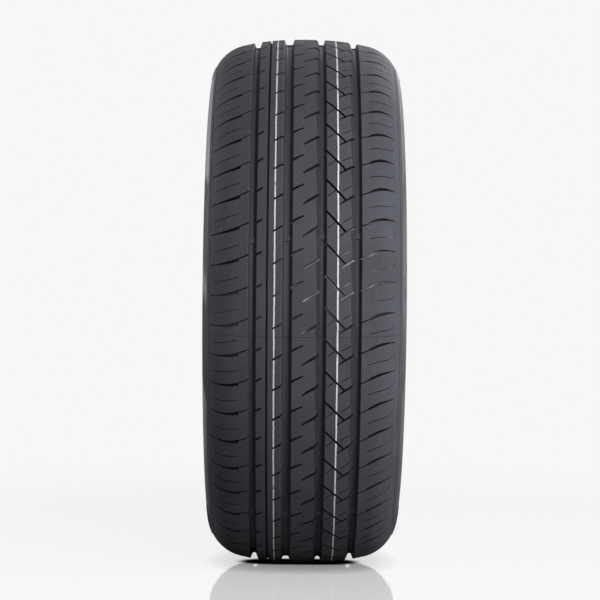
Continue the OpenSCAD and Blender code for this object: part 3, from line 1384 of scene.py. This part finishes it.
FINISHES: tuple[RubberFinish, ...] = (
    RubberFinish("tread_rubber", (0.059, 0.061, 0.071), 0.72, 0.12, painted=True, seams=True),
    RubberFinish(
        "groove_rubber", (0.055, 0.056, 0.066), 0.5, 0.1, 0.00003, clouds=0.5, seams=True
    ),
    # Painted shade: a darker colour on the saw-tooth chamfers and in the narrow groove.
    RubberFinish("chamfer_painted_shade", (0.024, 0.025, 0.028), 0.8, 0.1, 0.00008, clouds=0.5),
    RubberFinish("sidewall_rubber", (0.052, 0.053, 0.061), 0.5, 0.4, seams=True, sidewall=True),
    RubberFinish("bead_rubber", (0.034, 0.035, 0.039), 0.42, 0.4, grain=0.00003),
    RubberFinish("liner_rubber", (0.036, 0.037, 0.041), 0.48, 0.4, liner=True),
    # Painted shade: a near-black colour on the slot walls, where little light reaches.
    RubberFinish("slot_painted_shade", (0.010, 0.010, 0.012), 0.8, 0.05, 0.00003, clouds=0.5),
    # Painted shade: dark slot lips, so that the slots look wider and darker.
    RubberFinish("lip_painted_shade", (0.013, 0.013, 0.015), 0.7, 0.1, 0.00003, clouds=0.5),
    # Painted shade: a dark colour on the slot floors, whose low roughness gives real glints of the
    # gloss lamp.
    RubberFinish("slot_floor_painted_shade", (0.014, 0.014, 0.017), 0.24, 0.3, 0.00003, clouds=0.5),
)


@dataclass
class Tyre:
    """The moulded tyre: its pitches wrapped into a ring and dressed."""

    section: Section = field(default_factory=Section)
    rule: PitchRule = field(default_factory=PitchRule)
    flat_at: float = -316.5
    crease: float = 29.0
    weld: float = 0.00003

    def build(self) -> Object:
        """Makes the tyre, dressed and riding on the frame.

        Returns:
            The piece that stands for the solid tyre.
        """
        effects = Effects()
        materials = [finish.build(effects) for finish in FINISHES]
        tread = Tread(self.section, self.rule)
        ridges = RidgeBand(self.section)
        plain = tread.pitch(materials, None)
        barred = {}
        for bar in self.rule.bars():
            pitch = math.floor(bar - tread.border)
            barred[pitch % self.rule.count] = tread.pitch(materials, bar - pitch)
        bm = bmesh.new()
        for pitch in range(self.rule.count):
            self._wrap(bm, barred.get(pitch, plain), pitch, tread.length, ridges)
        bmesh.ops.remove_doubles(bm, verts=bm.verts[:], dist=self.weld)
        bmesh.ops.delete(bm, geom=[e for e in bm.edges if e.is_wire], context="EDGES")
        for vert in bm.verts:
            vert.co.z = max(vert.co.z, self.flat_at * MM)
        self._shade(bm)
        open_edges = sum(len(edge.link_faces) != 2 for edge in bm.edges)
        mesh = to_mesh(bm, "moulded_tyre")
        for material in materials:
            mesh.materials.append(material)
        for used in {plain, *barred.values()}:
            bpy.data.meshes.remove(used)
        piece = stand("moulded_tyre", mesh)
        even = piece.modifiers.new("even_shading", "WEIGHTED_NORMAL")
        even.keep_sharp = True
        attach(piece, "root")
        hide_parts("tyre")
        triangles = sum(len(face.vertices) - 2 for face in mesh.polygons)
        log.info("tyre: %d triangles, %d open edges", triangles, open_edges)
        return piece

    def _wrap(self, bm: BMesh, mesh: Mesh, pitch: int, length: float, ridges: RidgeBand) -> None:
        """Adds one flat pitch to the ring, bent round the wheel and brought to metres.

        Args:
            bm: the ring.
            mesh: the flat pitch.
            pitch: its number, counted upwards from the front.
            length: length of a flat pitch.
            ridges: the ridges that fade out on the sidewalls.
        """
        before = len(bm.verts)
        bm.from_mesh(mesh)
        bm.verts.ensure_lookup_table()
        for vert in bm.verts[before:]:
            angle = self.rule.angle(pitch + vert.co.y / length)
            across, radius = ridges.settle(vert.co.x, vert.co.z, angle)
            turn = math.radians(angle)
            vert.co = Vector((radius * math.cos(turn), across, radius * math.sin(turn))) * MM

    def _shade(self, bm: BMesh) -> None:
        """Smooth shading, with hard edges where two faces meet at a steep angle.

        Args:
            bm: the ring.
        """
        bmesh.ops.recalc_face_normals(bm, faces=bm.faces[:])
        for face in bm.faces:
            face.smooth = True
        limit = math.radians(self.crease)
        for edge in bm.edges:
            edge.smooth = len(edge.link_faces) == 2 and edge.calc_face_angle(0.0) < limit


@dataclass(frozen=True)
class Lamp:
    """A soft lamp of the studio, in metres and watts."""

    name: str
    place: tuple[float, float, float]
    aim: tuple[float, float, float]
    size: Pair
    power: float
    gloss_only: bool = False
    floor_only: bool = False

    def build(self, lit: bpy.types.Collection) -> None:
        """Makes the lamp.

        Args:
            lit: collection of what it lights.
        """
        data = bpy.data.lights.new(self.name, "AREA")
        data.shape = "RECTANGLE"
        data.size, data.size_y = self.size
        data.energy = self.power
        lamp = stand(self.name, data)
        lamp.location = self.place
        lamp.visible_camera = False
        lamp.visible_diffuse = not self.gloss_only
        lamp.visible_glossy = not self.floor_only
        lamp.light_linking.receiver_collection = lit
        way = Vector(self.aim) - Vector(self.place)
        lamp.rotation_euler = way.to_track_quat("-Z", "Y").to_euler()


LAMPS: tuple[Lamp, ...] = (
    Lamp("front_lamp", (2.2, 0.92, 0.76), (0.1, 0.0, 0.0), (1.2, 1.2), 42.0),
    Lamp("side_lamp", (0.80, 1.95, 0.42), (0.2, 0.0, 0.0), (1.0, 1.0), 38.0),
    Lamp("back_lamp", (-1.7, 0.9, 1.4), (0.0, 0.0, 0.0), (1.2, 1.2), 22.0),
    Lamp("left_lamp", (-0.9, -2.0, 0.7), (0.0, 0.0, 0.0), (1.0, 1.0), 26.0),
    Lamp("gloss_lamp", (2.9, 0.75, 0.42), (0.3, 0.0, 0.0), (2.0, 1.0), 34.0, gloss_only=True),
    Lamp("floor_lamp", (2.2, 0.6, 1.1), (0.0, 0.0, -0.3), (1.2, 1.2), 130.0, floor_only=True),
)


@dataclass
class Studio:
    """Floor, lights, background and camera of the photograph, in metres."""

    background: Colour = (0.93, 0.93, 0.93, 1.0)
    sky_colour: Colour = (0.92, 0.96, 1.0, 1.0)
    sky: Pair = (0.10, 0.13)
    sky_rise: Pair = (-0.3, 0.6)
    floor_z: float = -0.3165
    floor_size: float = 1.6
    floor_fade: Pair = (0.40, 1.5)
    floor_colour: Colour = (0.86, 0.86, 0.86, 1.0)
    dim_colour: Colour = (0.16, 0.16, 0.16, 1.0)
    shadow: float = 0.08
    # Reach of the ambient occlusion that paints shade onto the floor near the tyre.
    painted_shade_reach: float = 0.03
    mirror: Pair = (0.42, 0.34)
    mirror_rise: Pair = (0.02, 0.42)
    mirror_fade: Pair = (0.45, 0.9)
    mirror_colour: Colour = (1.0, 1.0, 1.0, 1.0)
    mirror_rough: float = 0.06
    grazing: Pair = (0.5, 0.8)
    # Half sizes, middle and soft edge of the painted shadow, a dark ellipse on the floor at the
    # tyre's foot.
    foot: Pair = (0.031, 0.072)
    painted_shadow_at: Pair = (0.018, -0.004)
    painted_shadow_edge: Pair = (0.75, 1.25)
    distance: float = 2.536
    lens: float = 124.44
    sensor: float = 36.0
    far: float = 50.0
    azimuth: float = -0.2
    roll: float = 0.465
    wheel_px: Pair = (303.8, 301.04)

    def build(self, shown: Object) -> None:
        """Makes the whole studio.

        Args:
            shown: the piece that it stands round.
        """
        self._world()
        self._lights(shown, self._floor())
        self._camera()

    def _world(self) -> None:
        """Pale background for the camera and reflections, soft light from above for the rest."""
        world = bpy.data.worlds.new("studio")
        world.use_nodes = True
        world.node_tree.nodes.clear()
        p = Pattern(world.node_tree)
        path = p.node("ShaderNodeLightPath").outputs
        seen = p.math("MAXIMUM", path["Is Camera Ray"], path["Is Transmission Ray"])
        seen = p.math("MAXIMUM", seen, path["Is Glossy Ray"])
        plain = p.fill(p.node("ShaderNodeBackground"), Color=self.background, Strength=1.0)
        way = p.node("ShaderNodeTexCoord").outputs["Generated"]
        up = p.fill(p.node("ShaderNodeSeparateXYZ"), Vector=way).outputs[2]
        light = p.ramp(up, *self.sky_rise, *self.sky)
        soft = p.fill(p.node("ShaderNodeBackground"), Color=self.sky_colour, Strength=light)
        sky = p.blend(seen, soft, plain)
        p.fill(p.node("ShaderNodeOutputWorld"), Surface=sky.outputs[0])
        bpy.context.scene.world = world

    def _floor(self) -> Object:
        """Pale floor under the tyre.

        Returns:
            The floor.
        """
        bm = bmesh.new()
        bmesh.ops.create_circle(bm, cap_ends=True, segments=96, radius=self.floor_size)
        bmesh.ops.translate(bm, verts=bm.verts[:], vec=Vector((0, 0, self.floor_z)))
        mesh = to_mesh(bm, "floor")
        mesh.materials.append(self._floor_finish())
        floor = stand("floor", mesh)
        return floor

    def _floor_finish(self) -> Material:
        """Pale emissive finish with a painted shadow and painted occlusion shade at the tyre's
        foot, a little real shadow and a faint reflection, which fades out round it.

        Returns:
            The material.
        """
        material, p = new_material("pale_floor")
        place = p.node("ShaderNodeTexCoord").outputs["Object"]
        x, y, _ = p.fill(p.node("ShaderNodeSeparateXYZ"), Vector=place).outputs
        away = p.length(x, y)
        # Painted shadow: a dark ellipse at the tyre's foot, where the floor's emission and its
        # reflection fade out.
        ahead, aside = (
            p.math("DIVIDE", p.minus(s, at), size)
            for s, at, size in zip((x, y), self.painted_shadow_at, self.foot)
        )
        out_of_painted_shadow = p.ramp(p.length(ahead, p.times(aside, aside)), *self.painted_shadow_edge)
        # Painted shade: ambient occlusion darkens the floor's emission where the tyre is near.
        near = p.fill(p.node("ShaderNodeAmbientOcclusion", samples=12), Distance=self.painted_shade_reach)
        painted_shade_glow = p.times(out_of_painted_shadow, p.math("MULTIPLY_ADD", near.outputs["AO"], 0.5, 0.5))
        white = p.fill(p.node("ShaderNodeEmission"), Color=self.background, Strength=painted_shade_glow)
        matte = p.fill(p.node("ShaderNodeBsdfDiffuse"), Color=self.floor_colour)
        dim = p.fill(p.node("ShaderNodeBsdfDiffuse"), Color=self.dim_colour)
        gloss = p.node("ShaderNodeBsdfGlossy")
        p.fill(gloss, Color=self.mirror_colour, Roughness=self.mirror_rough)
        share = p.times(out_of_painted_shadow, p.ramp(away, *self.mirror_rise, *self.mirror))
        share = p.times(share, p.ramp(away, *self.mirror_fade, 1.0, 0.0))
        facing = p.node("ShaderNodeLayerWeight").outputs["Facing"]
        share = p.times(share, p.ramp(facing, *self.grazing))
        polished = p.blend(share, p.blend(self.shadow, white, matte), gloss)
        seen = p.node("ShaderNodeLightPath").outputs["Is Camera Ray"]
        clear = p.node("ShaderNodeBsdfTransparent")
        shown = p.ramp(away, *self.floor_fade, 1.0, 0.0)
        surface = p.blend(shown, clear, p.blend(seen, dim, polished))
        p.fill(p.node("ShaderNodeOutputMaterial"), Surface=surface.outputs[0])
        return material

    def _lights(self, shown: Object, floor: Object) -> None:
        """Makes the lamps.

        Args:
            shown: the piece, which the floor's lamp only shades.
            floor: the floor, which would mirror the other lamps.
        """
        lit = []
        for name, thing in (("lit_piece", shown), ("lit_floor", floor)):
            lit.append(bpy.data.collections.new(name))
            lit[-1].objects.link(thing)
        for lamp in LAMPS:
            lamp.build(lit[lamp.floor_only])

    def _camera(self) -> None:
        """Camera of the photograph: level with the wheel's centre, four diameters away."""
        data = bpy.data.cameras.new("photo_camera")
        data.sensor_width = self.sensor
        data.lens = self.lens
        data.shift_x = -(self.wheel_px[0] - FRAME_PX / 2) / FRAME_PX
        data.shift_y = (self.wheel_px[1] - FRAME_PX / 2) / FRAME_PX
        data.clip_end = self.far
        camera = stand("photo_camera", data)
        turn = math.radians(self.azimuth)
        back = Vector((math.cos(turn), math.sin(turn), 0.0))
        facing = (-back).to_track_quat("-Z", "Y").to_matrix().to_4x4()
        rolled = facing @ Matrix.Rotation(math.radians(self.roll), 4, "Z")
        camera.matrix_world = Matrix.Translation(back * self.distance) @ rolled
        bpy.context.scene.camera = camera


def main() -> None:
    """Builds the tyre and its studio, in order."""
    logging.basicConfig(level=logging.INFO, format="%(message)s")
    bpy.context.scene.view_settings.view_transform = "Standard"
    tyre = Tyre().build()
    log.info("tyre built")
    Studio().build(tyre)
    log.info("studio built")


if __name__ == "__main__":
    main()
